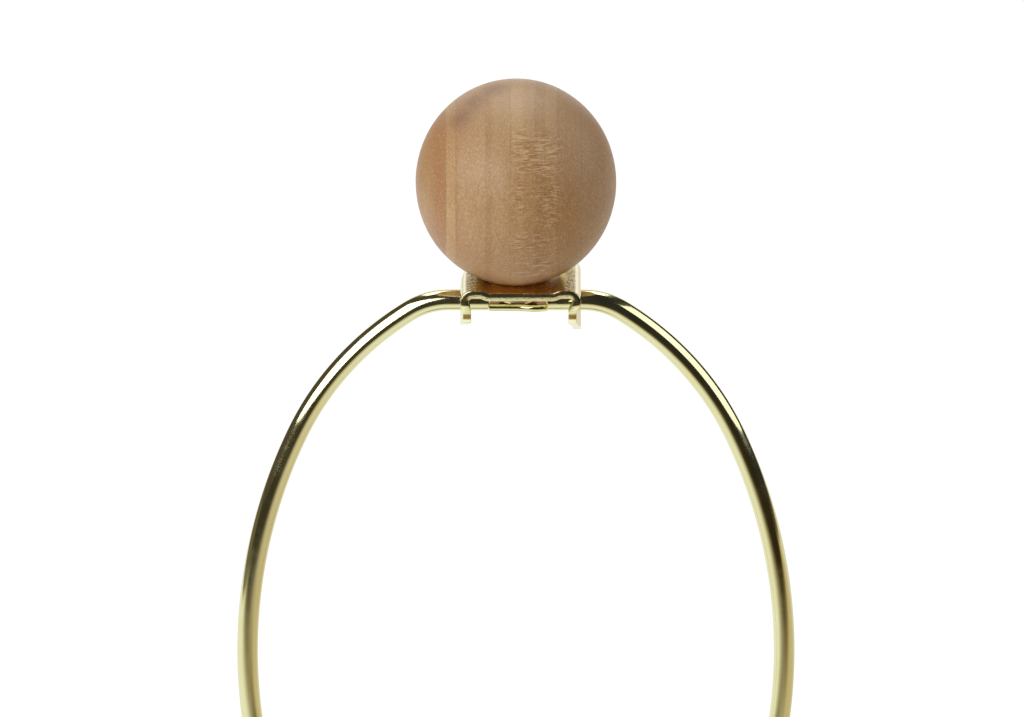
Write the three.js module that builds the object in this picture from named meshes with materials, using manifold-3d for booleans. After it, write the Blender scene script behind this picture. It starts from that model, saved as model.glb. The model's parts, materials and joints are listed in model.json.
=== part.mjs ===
// A lamp harp with a wooden ball finial.
// Millimetres. +Z is up, X runs along the straight top of the bow, Y is the depth.
// The origin is on the surface that the saddle stands on, below the middle of the bow.

import * as THREE from 'three';
import { mergeVertices } from 'three/addons/utils/BufferGeometryUtils.js';
import Module from 'manifold-3d';

const wasm = await Module();
wasm.setup();

// ---- driving dimensions ----

const GAP = 0.3;                     // running clearance between neighbouring pieces

// Bow: one rod, bent in tangent arcs from the middle of its top down to each leg.
const WIRE_RADIUS = 2.0;
const WIRE_SIDES = 12;
const WIRE_STEPS = 132;
const TOP_HALF_LENGTH = 12.8;
const SHOULDER_RADIUS = 13.8;
const SHOULDER_TURN = 32.6;          // degrees, as are the turns below
const HAUNCH_RADIUS = 58;
const HAUNCH_TURN = 32.7;
const SIDE_RADIUS = 104.7;
const KNEE_RADIUS = 30;
const LEG_X = 27;                    // middle of the bow to the axis of a leg
const LEG_BOTTOM = 5.2;
const LEG_TOP = 40;

// Coined flat in the middle of the bow's top, heights from the rod's axis.
const FLAT_HALF_LENGTH = 5.5;
const FLAT_SHIFT = 0.4;              // the flat was struck this far to one side
const FLAT_TOP = -0.15;
const FLAT_BOTTOM = -1.75;
const FLAT_WIDTH = 5.2;
const FLAT_BULGE = 0.5;              // its front and back are this much fuller at mid height
const FLAT_OVERLAP = 0.4;            // how far the squeezed metal runs into the round rod

// Foot: the rod's end, pressed into a blade that points inwards through the saddle's slot.
const FOOT_REACH = 6.4;
const FOOT_HEIGHT = 4.2;
const FOOT_THICKNESS = 1.8;

// Bracket: a stamped channel over the bow's top, heights from the rod's axis.
const SHEET = 1.6;
const BRACKET_WIDTH = 23;
const BRACKET_DEPTH = 20;
const BRACKET_SHIFT = 0.9;           // the channel sits this far to one side of its stud
const RECESS_TOP = 4.45;
const RECESS_DROP = 0.5;
const RECESS_HALF_WIDTH = 6.3;
const RECESS_SLOPE = 1.2;
const BEND_RADIUS = 2.4;             // outside of the bend
const WIRE_HOLE_RADIUS = WIRE_RADIUS + GAP;
const EAR_CORNER_DROP = 1.7;         // front and back corners of an ear, below the rod's axis
const EAR_DROPS = { left: 4.4, right: 5.2 };
const EAR_TIP_HALF_WIDTH = 2;

// Stud: a low round head under the bracket and a thread that stands up through it.
const STUD_RADIUS = 3.0;
const STUD_HEIGHT = 8.0;             // above the bracket's recess
const STUD_CHAMFER = 0.6;
const HEAD_RADIUS = 3.75;
const HEAD_SHIFT = 0.4;              // the head was upset this far to one side of its shank
const HEAD_BOTTOM = 0.15;            // above the rod's axis
const HEAD_ROUNDING = 0.3;

// Finial: a turned wooden ball with a threaded brass insert.
const BALL_RADIUS = 19.1;
const BALL_HALF_HEIGHT = 19.78;
const BALL_CENTRE = 23.55;           // above the rod's axis
const BALL_FLAT_RADIUS = 5.3;
const BALL_RINGS = 20;
const INSERT_RADIUS = 4.0;
const INSERT_BORE_RADIUS = STUD_RADIUS + GAP;
const INSERT_LENGTH = 9.5;
const BORE_DEPTH = 13.5;
const DRILL_POINT = 1;               // depth of the cone at the bore's end

// Ferrule: a bell-shaped sleeve that slides on a leg and locks it to the saddle.
const FERRULE_RADIUS = 4.6;
const FERRULE_NECK_RADIUS = 3.3;
const FERRULE_BORE_RADIUS = WIRE_RADIUS + GAP;
const FERRULE_SKIRT_BORE = 3.85;
const FERRULE_LENGTH = 15.5;
const FERRULE_NECK_LENGTH = 2.2;
const FERRULE_BOTTOM = 11;
const FERRULE_LIP = 0.4;             // bevel at the skirt's and the neck's rims
const FERRULE_SHOULDER = 1.6;        // height of the curve between the skirt and the neck

// Saddle: a stamped strip with a turned-up arm at each end.
const SADDLE_SHEET = 1.2;
const SADDLE_WIDTH = 16;
const SADDLE_BEND_RADIUS = 3.4;      // outside of the bend
const ARM_SHOULDER = FERRULE_BOTTOM - GAP;
const ARM_SHOULDER_WIDTH = 10;
const ARM_TOP = 21.8;
const ARM_TAPER_END = 2;             // the arm is at its shoulder's width this far below it
const PRONG_ROOT = 2.5;              // the prongs grow out of the arm this far below its shoulder
const PRONG_REACH = 0.5;             // the prongs stop this far short of the leg's middle
const TROUGH_RADIUS = WIRE_RADIUS + GAP;
const SLOT_WIDTH = FOOT_THICKNESS + 2 * GAP;
const NIPPLE_HOLE_RADIUS = 5.2;

// ---- derived places ----

const radians = THREE.MathUtils.degToRad;
const sideTurn = 90 - SHOULDER_TURN - HAUNCH_TURN;
const widest = arcEnds(TOP_HALF_LENGTH, 0);
const kneeTurn = THREE.MathUtils.radToDeg(
  Math.acos(1 - (widest.x - LEG_X) / (SIDE_RADIUS + KNEE_RADIUS)));
const kneeDrop = (SIDE_RADIUS + KNEE_RADIUS) * Math.sin(radians(kneeTurn));
const AXIS_Z = LEG_TOP + kneeDrop + widest.drop;       // the rod's axis along the bow's top

// Where the three outer arcs bring the rod to its widest point.
function arcEnds(x, drop) {
  let heading = 0;
  const turns = [[SHOULDER_RADIUS, SHOULDER_TURN], [HAUNCH_RADIUS, HAUNCH_TURN], [SIDE_RADIUS, sideTurn]];
  for (const [radius, turn] of turns) {
    const next = heading + radians(turn);
    x += radius * (Math.sin(next) - Math.sin(heading));
    drop += radius * (Math.cos(heading) - Math.cos(next));
    heading = next;
  }
  return { x, drop };
}

// ---- materials ----

const brassPlate = new THREE.MeshStandardMaterial({ color: 0xd9cf92, roughness: 0.12, metalness: 1 });
const stampedBrass = new THREE.MeshStandardMaterial({ color: 0xd3c68a, roughness: 0.25, metalness: 1 });
const solidBrass = new THREE.MeshStandardMaterial({ color: 0xc9b26a, roughness: 0.2, metalness: 1 });
const maple = new THREE.MeshStandardMaterial({ color: 0xb18e6c, roughness: 0.5, metalness: 0 });

// ---- solids ----

function solidOf(geometry) {
  geometry.deleteAttribute('normal');
  geometry.deleteAttribute('uv');
  const merged = mergeVertices(geometry, 1e-4);
  const vertProperties = new Float32Array(merged.attributes.position.array);
  const triVerts = new Uint32Array(merged.index.array);
  return new wasm.Manifold(new wasm.Mesh({ numProp: 3, vertProperties, triVerts }));
}

function geometryOf(solid) {
  const { vertProperties, triVerts } = solid.getMesh();
  const geometry = new THREE.BufferGeometry();
  geometry.setAttribute('position', new THREE.BufferAttribute(vertProperties, 3));
  geometry.setIndex(new THREE.BufferAttribute(triVerts, 1));
  geometry.computeVertexNormals();
  return geometry;
}

function box(x0, x1, y0, y1, z0, z1) {
  const geometry = new THREE.BoxGeometry(x1 - x0, y1 - y0, z1 - z0);
  geometry.translate((x0 + x1) / 2, (y0 + y1) / 2, (z0 + z1) / 2);
  return solidOf(geometry);
}

function cylinder(radius, bottom, top, sides) {
  const geometry = new THREE.CylinderGeometry(radius, radius, top - bottom, sides);
  geometry.rotateX(Math.PI / 2);
  geometry.translate(0, 0, (bottom + top) / 2);
  return solidOf(geometry);
}

// A cylinder along X, centred on the height z.
function crossCylinder(radius, x0, x1, z, sides) {
  const geometry = new THREE.CylinderGeometry(radius, radius, x1 - x0, sides);
  geometry.rotateZ(Math.PI / 2);
  geometry.translate((x0 + x1) / 2, 0, z);
  return solidOf(geometry);
}

// An outline in X and Z, extruded along Y and centred on Y = 0.
function prismAlongY(shape, width) {
  const geometry = new THREE.ExtrudeGeometry(shape, { depth: width, bevelEnabled: false, curveSegments: 6 });
  geometry.rotateX(Math.PI / 2);
  geometry.translate(0, width / 2, 0);
  return solidOf(geometry);
}

// An outline in Y and Z, extruded along X from x0 to x1.
function prismAlongX(shape, x0, x1) {
  const geometry = new THREE.ExtrudeGeometry(shape, { depth: x1 - x0, bevelEnabled: false, curveSegments: 6 });
  geometry.applyMatrix4(new THREE.Matrix4().makeBasis(
    new THREE.Vector3(0, 1, 0), new THREE.Vector3(0, 0, 1), new THREE.Vector3(1, 0, 0)));
  geometry.translate(x0, 0, 0);
  return solidOf(geometry);
}

function turned(profile, sides) {
  const geometry = new THREE.LatheGeometry(profile.map(([r, z]) => new THREE.Vector2(r, z)), sides);
  geometry.rotateX(Math.PI / 2);
  return solidOf(geometry);
}

function part(name, solid, material) {
  const mesh = new THREE.Mesh(geometryOf(solid), material);
  mesh.name = name;
  return mesh;
}

// ---- bow ----

// The rod's centreline: left leg, knee, side, haunch, shoulder, top, and the same again mirrored.
class BowCurve extends THREE.Curve {
  constructor() {
    super();
    this.half = [[TOP_HALF_LENGTH, 0, 0]];             // [length, radius, turn]
    const bends = [[SHOULDER_RADIUS, SHOULDER_TURN], [HAUNCH_RADIUS, HAUNCH_TURN],
      [SIDE_RADIUS, sideTurn + kneeTurn], [-KNEE_RADIUS, -kneeTurn]];
    for (const [radius, turn] of bends) this.half.push([radius * radians(turn), radius, radians(turn)]);
    this.half.push([LEG_TOP - LEG_BOTTOM, 0, 0]);
    this.halfLength = this.half.reduce((sum, [length]) => sum + length, 0);
  }

  getPoint(t, target = new THREE.Vector3()) {
    const signed = (t - 0.5) * 2 * this.halfLength;
    let left = Math.abs(signed);
    let x = 0;
    let drop = 0;
    let heading = 0;
    for (const [length, radius, turn] of this.half) {
      const run = Math.min(left, length);
      if (radius === 0) {
        x += run * Math.cos(heading);
        drop += run * Math.sin(heading);
      } else {
        const next = heading + turn * run / length;
        x += radius * (Math.sin(next) - Math.sin(heading));
        drop += radius * (Math.cos(heading) - Math.cos(next));
        heading = next;
      }
      left -= run;
      if (left <= 0) break;
    }
    return target.set(Math.sign(signed) * x, 0, AXIS_Z - drop);
  }
}

function makeBow() {
  const section = new THREE.Shape();
  for (let k = 0; k < WIRE_SIDES; k += 1) {
    const angle = 2 * Math.PI * (k + 0.5) / WIRE_SIDES;
    const point = [WIRE_RADIUS * Math.cos(angle), WIRE_RADIUS * Math.sin(angle)];
    if (k === 0) section.moveTo(...point);
    else section.lineTo(...point);
  }
  section.closePath();
  let bow = solidOf(new THREE.ExtrudeGeometry(section, { steps: WIRE_STEPS, extrudePath: new BowCurve() }));

  const left = FLAT_SHIFT - FLAT_HALF_LENGTH;
  const right = FLAT_SHIFT + FLAT_HALF_LENGTH;
  const clear = 2 * WIRE_RADIUS;
  const above = box(left, right, -clear, clear, AXIS_Z + FLAT_TOP, AXIS_Z + clear);
  const below = box(left, right, -clear, clear, AXIS_Z - clear, AXIS_Z + FLAT_BOTTOM);
  bow = bow.subtract(above).subtract(below).add(makeCoinedFlat());
  for (const side of [-1, 1]) bow = bow.add(makeFoot(side));
  return part('bow_wire', bow, brassPlate);
}

// The squeezed stretch bulges in front and behind, and runs a little way into the round rod.
function makeCoinedFlat() {
  const halfWidth = FLAT_WIDTH / 2;
  const face = halfWidth - FLAT_BULGE;
  const middle = AXIS_Z + (FLAT_TOP + FLAT_BOTTOM) / 2;
  const section = new THREE.Shape([
    new THREE.Vector2(-face, AXIS_Z + FLAT_BOTTOM),
    new THREE.Vector2(face, AXIS_Z + FLAT_BOTTOM),
    new THREE.Vector2(halfWidth, middle),
    new THREE.Vector2(face, AXIS_Z + FLAT_TOP),
    new THREE.Vector2(-face, AXIS_Z + FLAT_TOP),
    new THREE.Vector2(-halfWidth, middle),
  ]);
  const reach = FLAT_HALF_LENGTH + FLAT_OVERLAP;
  return prismAlongX(section, FLAT_SHIFT - reach, FLAT_SHIFT + reach);
}

function makeFoot(side) {
  const inner = LEG_X - FOOT_REACH;
  const outer = LEG_X + WIRE_RADIUS / 2;
  const nose = FOOT_HEIGHT / 2;
  const outline = new THREE.Shape();
  outline.moveTo(side * outer, LEG_BOTTOM);
  outline.lineTo(side * outer, LEG_BOTTOM + FOOT_HEIGHT);
  outline.lineTo(side * (inner + nose), LEG_BOTTOM + FOOT_HEIGHT);
  outline.absarc(side * (inner + nose), LEG_BOTTOM + nose, nose, Math.PI / 2, 1.5 * Math.PI, side < 0);
  outline.closePath();
  return prismAlongY(outline, FOOT_THICKNESS);
}

// ---- bracket and stud ----

// The channel's section: two flats beside a shallow recess, then a bend down into each ear.
function channelOutline() {
  const half = BRACKET_WIDTH / 2;
  const top = AXIS_Z + RECESS_TOP + RECESS_DROP;
  const bendX = half - BEND_RADIUS;
  const bendZ = top - BEND_RADIUS;
  const inside = BEND_RADIUS - SHEET;
  const floor = AXIS_Z - BRACKET_DEPTH / 2;          // below both ears, which are trimmed later
  const recess = AXIS_Z + RECESS_TOP;
  const outline = new THREE.Shape();
  outline.moveTo(-RECESS_HALF_WIDTH, recess);
  outline.lineTo(RECESS_HALF_WIDTH, recess);
  outline.lineTo(RECESS_HALF_WIDTH + RECESS_SLOPE, top);
  outline.lineTo(bendX, top);
  outline.absarc(bendX, bendZ, BEND_RADIUS, Math.PI / 2, 0, true);
  outline.lineTo(half, floor);
  outline.lineTo(half - SHEET, floor);
  outline.absarc(bendX, bendZ, inside, 0, Math.PI / 2, false);
  outline.lineTo(RECESS_HALF_WIDTH + RECESS_SLOPE, top - SHEET);
  outline.lineTo(RECESS_HALF_WIDTH, recess - SHEET);
  outline.lineTo(-RECESS_HALF_WIDTH, recess - SHEET);
  outline.lineTo(-RECESS_HALF_WIDTH - RECESS_SLOPE, top - SHEET);
  outline.absarc(-bendX, bendZ, inside, Math.PI / 2, Math.PI, false);
  outline.lineTo(-half + SHEET, floor);
  outline.lineTo(-half, floor);
  outline.absarc(-bendX, bendZ, BEND_RADIUS, Math.PI, Math.PI / 2, true);
  outline.lineTo(-RECESS_HALF_WIDTH - RECESS_SLOPE, top);
  outline.closePath();
  return outline;
}

// What is cut away below an ear: everything under its corners and its sloping lower edges.
function belowEar(drop) {
  const beyond = 1;
  const half = BRACKET_DEPTH / 2 + beyond;
  const slope = (drop - EAR_CORNER_DROP) / (BRACKET_DEPTH / 2 - EAR_TIP_HALF_WIDTH);
  const corner = AXIS_Z - EAR_CORNER_DROP + slope * beyond;
  const floor = AXIS_Z - BRACKET_DEPTH;
  return new THREE.Shape([
    new THREE.Vector2(-half, corner),
    new THREE.Vector2(-half, floor),
    new THREE.Vector2(half, floor),
    new THREE.Vector2(half, corner),
    new THREE.Vector2(EAR_TIP_HALF_WIDTH, AXIS_Z - drop),
    new THREE.Vector2(-EAR_TIP_HALF_WIDTH, AXIS_Z - drop),
  ]);
}

function makeBracket() {
  const reach = BRACKET_WIDTH / 2 + 1;
  let channel = prismAlongY(channelOutline(), BRACKET_DEPTH);
  channel = channel.subtract(prismAlongX(belowEar(EAR_DROPS.left), -reach, 0));
  channel = channel.subtract(prismAlongX(belowEar(EAR_DROPS.right), 0, reach));
  channel = channel.subtract(crossCylinder(WIRE_HOLE_RADIUS, -reach, reach, AXIS_Z, 24));
  channel = channel.translate([BRACKET_SHIFT, 0, 0]);
  const overTop = AXIS_Z + RECESS_TOP + RECESS_DROP + 1;
  channel = channel.subtract(cylinder(STUD_RADIUS + GAP, AXIS_Z, overTop, 24));
  return part('top_bracket', channel, stampedBrass);
}

function makeStud() {
  const top = RECESS_TOP + STUD_HEIGHT;
  const headTop = RECESS_TOP - SHEET - GAP;
  const thread = [[0, headTop - GAP], [STUD_RADIUS, headTop - GAP],
    [STUD_RADIUS, top - STUD_CHAMFER], [STUD_RADIUS - STUD_CHAMFER, top], [0, top]];
  const disc = [[0, HEAD_BOTTOM], [HEAD_RADIUS - HEAD_ROUNDING, HEAD_BOTTOM],
    [HEAD_RADIUS, HEAD_BOTTOM + HEAD_ROUNDING], [HEAD_RADIUS, headTop], [0, headTop]];
  const head = turned(disc, 24).translate([HEAD_SHIFT, 0, 0]);
  return part('finial_stud', turned(thread, 24).add(head).translate([0, 0, AXIS_Z]), solidBrass);
}

// ---- finial ----

function makeBall() {
  const flatAngle = Math.asin(BALL_FLAT_RADIUS / BALL_RADIUS);
  const flat = BALL_CENTRE - BALL_HALF_HEIGHT * Math.cos(flatAngle);
  const bore = INSERT_RADIUS + GAP;
  const profile = [[0, flat + BORE_DEPTH], [bore, flat + BORE_DEPTH - DRILL_POINT], [bore, flat]];
  for (let k = 0; k <= BALL_RINGS; k += 1) {
    const angle = flatAngle + (Math.PI - flatAngle) * k / BALL_RINGS;
    const radius = k === BALL_RINGS ? 0 : BALL_RADIUS * Math.sin(angle);
    profile.push([radius, BALL_CENTRE - BALL_HALF_HEIGHT * Math.cos(angle)]);
  }
  return part('finial_ball', turned(profile, 40).translate([0, 0, AXIS_Z]), maple);
}

function makeInsert() {
  const bottom = RECESS_TOP + GAP;
  const profile = [[INSERT_BORE_RADIUS, bottom], [INSERT_RADIUS, bottom],
    [INSERT_RADIUS, bottom + INSERT_LENGTH], [INSERT_BORE_RADIUS, bottom + INSERT_LENGTH],
    [INSERT_BORE_RADIUS, bottom]];
  return part('finial_insert', turned(profile, 24).translate([0, 0, AXIS_Z]), solidBrass);
}

// ---- ferrules and saddle ----

function makeFerrule(name, side) {
  const top = FERRULE_LENGTH;
  const neck = top - FERRULE_NECK_LENGTH;
  const lip = FERRULE_LIP;
  const middle = (FERRULE_RADIUS + FERRULE_NECK_RADIUS + lip) / 2;
  const profile = [[FERRULE_SKIRT_BORE, 0], [FERRULE_RADIUS - lip, 0], [FERRULE_RADIUS, lip],
    [FERRULE_RADIUS, neck - FERRULE_SHOULDER], [middle, neck - FERRULE_SHOULDER / 3],
    [FERRULE_NECK_RADIUS, neck], [FERRULE_NECK_RADIUS, top - lip], [FERRULE_NECK_RADIUS - lip, top],
    [FERRULE_BORE_RADIUS, top], [FERRULE_BORE_RADIUS, neck - SADDLE_SHEET],
    [FERRULE_SKIRT_BORE, neck - SADDLE_SHEET - 1], [FERRULE_SKIRT_BORE, 0]];
  const sleeve = turned(profile, 24).translate([side * LEG_X, 0, FERRULE_BOTTOM]);
  return part(name, sleeve, solidBrass);
}

// The strip's section from arm to arm.
function saddleOutline() {
  const half = LEG_X - TROUGH_RADIUS;
  const bendX = half - SADDLE_BEND_RADIUS;
  const inside = SADDLE_BEND_RADIUS - SADDLE_SHEET;
  const outline = new THREE.Shape();
  outline.moveTo(-bendX, 0);
  outline.lineTo(bendX, 0);
  outline.absarc(bendX, SADDLE_BEND_RADIUS, SADDLE_BEND_RADIUS, -Math.PI / 2, 0, false);
  outline.lineTo(half, ARM_SHOULDER);
  outline.lineTo(half - SADDLE_SHEET, ARM_SHOULDER);
  outline.absarc(bendX, SADDLE_BEND_RADIUS, inside, 0, -Math.PI / 2, true);
  outline.absarc(-bendX, SADDLE_BEND_RADIUS, inside, -Math.PI / 2, -Math.PI, true);
  outline.lineTo(-half + SADDLE_SHEET, ARM_SHOULDER);
  outline.lineTo(-half, ARM_SHOULDER);
  outline.absarc(-bendX, SADDLE_BEND_RADIUS, SADDLE_BEND_RADIUS, Math.PI, 1.5 * Math.PI, false);
  outline.closePath();
  return outline;
}

// The strip narrows from its full width at the bend to the shoulder that stops the ferrule.
function besideArm() {
  const wide = SADDLE_WIDTH / 2;
  const narrow = ARM_SHOULDER_WIDTH / 2;
  return new THREE.Shape([
    new THREE.Vector2(wide, SADDLE_BEND_RADIUS),
    new THREE.Vector2(wide + 1, SADDLE_BEND_RADIUS),
    new THREE.Vector2(wide + 1, ARM_SHOULDER + 1),
    new THREE.Vector2(narrow, ARM_SHOULDER + 1),
    new THREE.Vector2(narrow, ARM_SHOULDER - ARM_TAPER_END),
  ]);
}

// Two curved prongs that hug the inner half of the leg, one on each side of the foot's slot.
function makeProngs(side) {
  const outer = TROUGH_RADIUS + SADDLE_SHEET;
  const bottom = ARM_SHOULDER - PRONG_ROOT;
  const ring = cylinder(outer, bottom, ARM_TOP, 24).subtract(cylinder(TROUGH_RADIUS, bottom - 1, ARM_TOP + 1, 24));
  const innerHalf = box(-outer - 1, -PRONG_REACH, -outer - 1, outer + 1, bottom - 1, ARM_TOP + 1);
  const prongs = ring.intersect(innerHalf);
  return (side < 0 ? prongs.mirror([1, 0, 0]) : prongs).translate([side * LEG_X, 0, 0]);
}

function makeSaddle() {
  const reach = LEG_X + 1;
  const beside = prismAlongX(besideArm(), -reach, reach);
  let saddle = prismAlongY(saddleOutline(), SADDLE_WIDTH).subtract(beside).subtract(beside.mirror([0, 1, 0]));
  for (const side of [-1, 1]) saddle = saddle.add(makeProngs(side));
  const slotBottom = LEG_BOTTOM - GAP;
  const halfSlot = SLOT_WIDTH / 2;
  const inner = LEG_X - FOOT_REACH;
  saddle = saddle.subtract(box(inner, reach, -halfSlot, halfSlot, slotBottom, ARM_TOP + 1));
  saddle = saddle.subtract(box(-reach, -inner, -halfSlot, halfSlot, slotBottom, ARM_TOP + 1));
  saddle = saddle.subtract(cylinder(NIPPLE_HOLE_RADIUS, -1, SADDLE_SHEET + 1, 32));
  return part('saddle', saddle, stampedBrass);
}

// ---- assembly ----

const harp = new THREE.Group();
harp.add(
  makeBow(),
  makeBracket(),
  makeStud(),
  makeBall(),
  makeInsert(),
  makeFerrule('ferrule_left', -1),
  makeFerrule('ferrule_right', 1),
  makeSaddle(),
);

export default harp;
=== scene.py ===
"""A lamp harp with a wooden ball finial: the detailed pieces, materials, light and camera."""
import json
import math

import bmesh
import bpy
from mathutils import Matrix, Vector, noise


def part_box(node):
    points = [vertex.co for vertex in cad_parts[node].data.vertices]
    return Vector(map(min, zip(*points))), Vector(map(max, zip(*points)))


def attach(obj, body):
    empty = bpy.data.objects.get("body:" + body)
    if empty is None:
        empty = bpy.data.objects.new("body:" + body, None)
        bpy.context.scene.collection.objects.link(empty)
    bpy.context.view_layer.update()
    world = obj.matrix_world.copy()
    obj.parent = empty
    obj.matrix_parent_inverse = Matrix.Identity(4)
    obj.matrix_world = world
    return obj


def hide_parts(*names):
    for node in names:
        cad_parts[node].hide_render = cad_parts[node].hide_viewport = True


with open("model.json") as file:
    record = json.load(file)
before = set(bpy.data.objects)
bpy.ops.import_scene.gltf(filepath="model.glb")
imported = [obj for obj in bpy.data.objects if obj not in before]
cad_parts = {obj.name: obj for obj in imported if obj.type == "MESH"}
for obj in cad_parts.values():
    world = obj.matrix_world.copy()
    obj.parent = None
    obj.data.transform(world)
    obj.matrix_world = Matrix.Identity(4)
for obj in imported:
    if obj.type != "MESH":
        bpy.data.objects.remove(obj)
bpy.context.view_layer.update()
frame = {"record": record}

MM = 0.001
TURN = 2 * math.pi


def joint(name):
    return next(j for j in frame["record"]["behaviour"]["joints"] if j["name"] == name)


def middle_x(node):
    low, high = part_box(node)
    return (low[0] + high[0]) / 2


AXIS_Z = joint("bracket_swivel")["pos_m"][2]    # the rod's axis along the bow's top
LEG_X = middle_x("ferrule_right")
BRACKET_X = middle_x("top_bracket")
BALL_HALF_HEIGHT = 19.78 * MM
BALL_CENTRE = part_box("finial_ball")[1][2] - BALL_HALF_HEIGHT

# ---- camera, floor and light ----

VIEW_ELEVATION = math.radians(18)
VIEW_DISTANCE = 6.0
VIEW_WIDTH = 0.19507
AIM = Vector((-0.00074, 0, AXIS_Z - 0.01174))


def add_camera():
    data = bpy.data.cameras.new("camera")
    data.sensor_width = 36
    data.lens = data.sensor_width * VIEW_DISTANCE / VIEW_WIDTH
    data.clip_end = 5 * VIEW_DISTANCE
    camera = bpy.data.objects.new("camera", data)
    back = Vector((0, -math.cos(VIEW_ELEVATION), math.sin(VIEW_ELEVATION)))
    camera.location = AIM + back * VIEW_DISTANCE
    camera.rotation_euler = back.to_track_quat("Z", "Y").to_euler()
    bpy.context.scene.collection.objects.link(camera)
    bpy.context.scene.camera = camera


def add_softbox(name, azimuth, elevation, distance, size, radiance, roll=0.0):
    """A soft light aimed at the finial; azimuth runs from the viewer's side towards +X."""
    around, above = math.radians(azimuth), math.radians(elevation)
    out = Vector((math.sin(around) * math.cos(above), -math.cos(around) * math.cos(above), math.sin(above)))
    data = bpy.data.lights.new(name, "AREA")
    data.shape = "RECTANGLE"
    data.size, data.size_y = size
    data.energy = radiance * math.pi * size[0] * size[1]
    light = bpy.data.objects.new(name, data)
    light.location = Vector((0, 0, AXIS_Z)) + out * distance
    spin = Matrix.Rotation(math.radians(roll), 3, "Z").to_quaternion()
    light.rotation_euler = (out.to_track_quat("Z", "Y") @ spin).to_euler()
    light.visible_camera = False
    bpy.context.scene.collection.objects.link(light)


def glowing_material(name, build):
    """An emissive material whose colour is the socket that build(nodes) returns."""
    n = Nodes(name)
    n.shader.inputs["Base Color"].default_value = (0, 0, 0, 1)
    n.shader.inputs["Roughness"].default_value = 1
    n.shader.inputs["Specular IOR Level"].default_value = 0
    n.shader.inputs["Emission Strength"].default_value = 1
    n.link(build(n), "Emission Color")
    return n.material


def floor_glow(n):
    """Pale paper: bright beside and behind the object, fading forwards, duller and warmer on the right."""
    place = n.add("ShaderNodeSeparateXYZ", {"Vector": n.coordinates((1, 1, 1))})
    x, y = place.outputs["X"], place.outputs["Y"]
    ahead = n.fade(y, -0.48, -0.10)
    right = n.spread(n.fade(x, 1.75, 1.35), 0, 1, 0.10, 1)
    left = n.spread(n.fade(x, -0.72, -0.58), 0, 1, 0.12, 1)
    away = n.add("ShaderNodeVectorMath", {0: n.coordinates((1, 1, 0))}, operation="LENGTH")
    # painted shadow: the paper glows dimmer close round the object's foot
    shaded = n.spread(n.fade(away.outputs["Value"], 0.015, 0.085), 0, 1, 0.60, 1)
    paper = n.ramp(n.times(ahead, right, left, shaded),
                   ((0, (0.045, 0.038, 0.025)), (0.3, (0.31, 0.27, 0.19)),
                    (0.65, (0.68, 0.65, 0.55)), (1, (0.96, 0.97, 1.00))))
    warm = n.times(n.fade(x, 0.02, 0.20), n.spread(n.fade(y, 0.40, 0.0), 0, 1, 0.4, 1))
    return n.mix(warm, paper, (0.66, 0.56, 0.40), "MULTIPLY")


def backdrop_glow(n):
    """A paper sweep straight behind the object, dimmer towards its sides and top."""
    place = n.add("ShaderNodeSeparateXYZ", {"Vector": n.coordinates((1, 1, 1))})
    side = n.fade(n.maths("ABSOLUTE", place.outputs["X"]), 1.60, 1.15)
    high = n.fade(place.outputs["Z"], 0.85, 1.30)
    paper = n.mix(high, (1.08, 1.07, 1.12), (0.54, 0.45, 0.32))
    return n.mix(side, (0.03, 0.03, 0.03), paper)


def add_plane(name, corners, material):
    mesh = bpy.data.meshes.new(name)
    mesh.from_pydata(corners, [], [(0, 1, 2, 3)])
    mesh.materials.append(material)
    plane = bpy.data.objects.new(name, mesh)
    bpy.context.scene.collection.objects.link(plane)
    plane.visible_camera = False


FLOOR_REACH = 6.0
BACKDROP_Y = 3.0
BACKDROP_HALF_WIDTH = 1.7
BACKDROP_HEIGHT = 3.4
ROOM_LEFT = (0.085, 0.070, 0.055, 1)
ROOM_RIGHT = (0.026, 0.026, 0.027, 1)
SEEN_WHITE = 1.05


def add_world():
    """A dim room, with a little warm light on the left, that looks pure white behind the object."""
    world = bpy.data.worlds.new("studio")
    world.use_nodes = True
    nodes = world.node_tree.nodes
    link = world.node_tree.links.new
    axes = nodes.new("ShaderNodeSeparateXYZ")
    link(nodes.new("ShaderNodeTexCoord").outputs["Generated"], axes.inputs["Vector"])
    sideways = nodes.new("ShaderNodeMapRange")
    sideways.inputs["From Min"].default_value = -1
    sideways.inputs["From Max"].default_value = 1
    link(axes.outputs["X"], sideways.inputs["Value"])
    ramp = nodes.new("ShaderNodeValToRGB")
    link(sideways.outputs["Result"], ramp.inputs["Fac"])
    for stop, position, colour in zip(ramp.color_ramp.elements, (0.1, 0.6), (ROOM_LEFT, ROOM_RIGHT)):
        stop.position = position
        stop.color = colour
    room = nodes["Background"]
    link(ramp.outputs["Color"], room.inputs["Color"])
    white = nodes.new("ShaderNodeBackground")
    white.inputs["Color"].default_value = (1, 1, 1, 1)
    white.inputs["Strength"].default_value = SEEN_WHITE
    seen = nodes.new("ShaderNodeMixShader")
    link(nodes.new("ShaderNodeLightPath").outputs["Is Camera Ray"], seen.inputs["Fac"])
    link(room.outputs["Background"], seen.inputs[1])
    link(white.outputs["Background"], seen.inputs[2])
    link(seen.outputs["Shader"], nodes["World Output"].inputs["Surface"])
    bpy.context.scene.world = world


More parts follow.
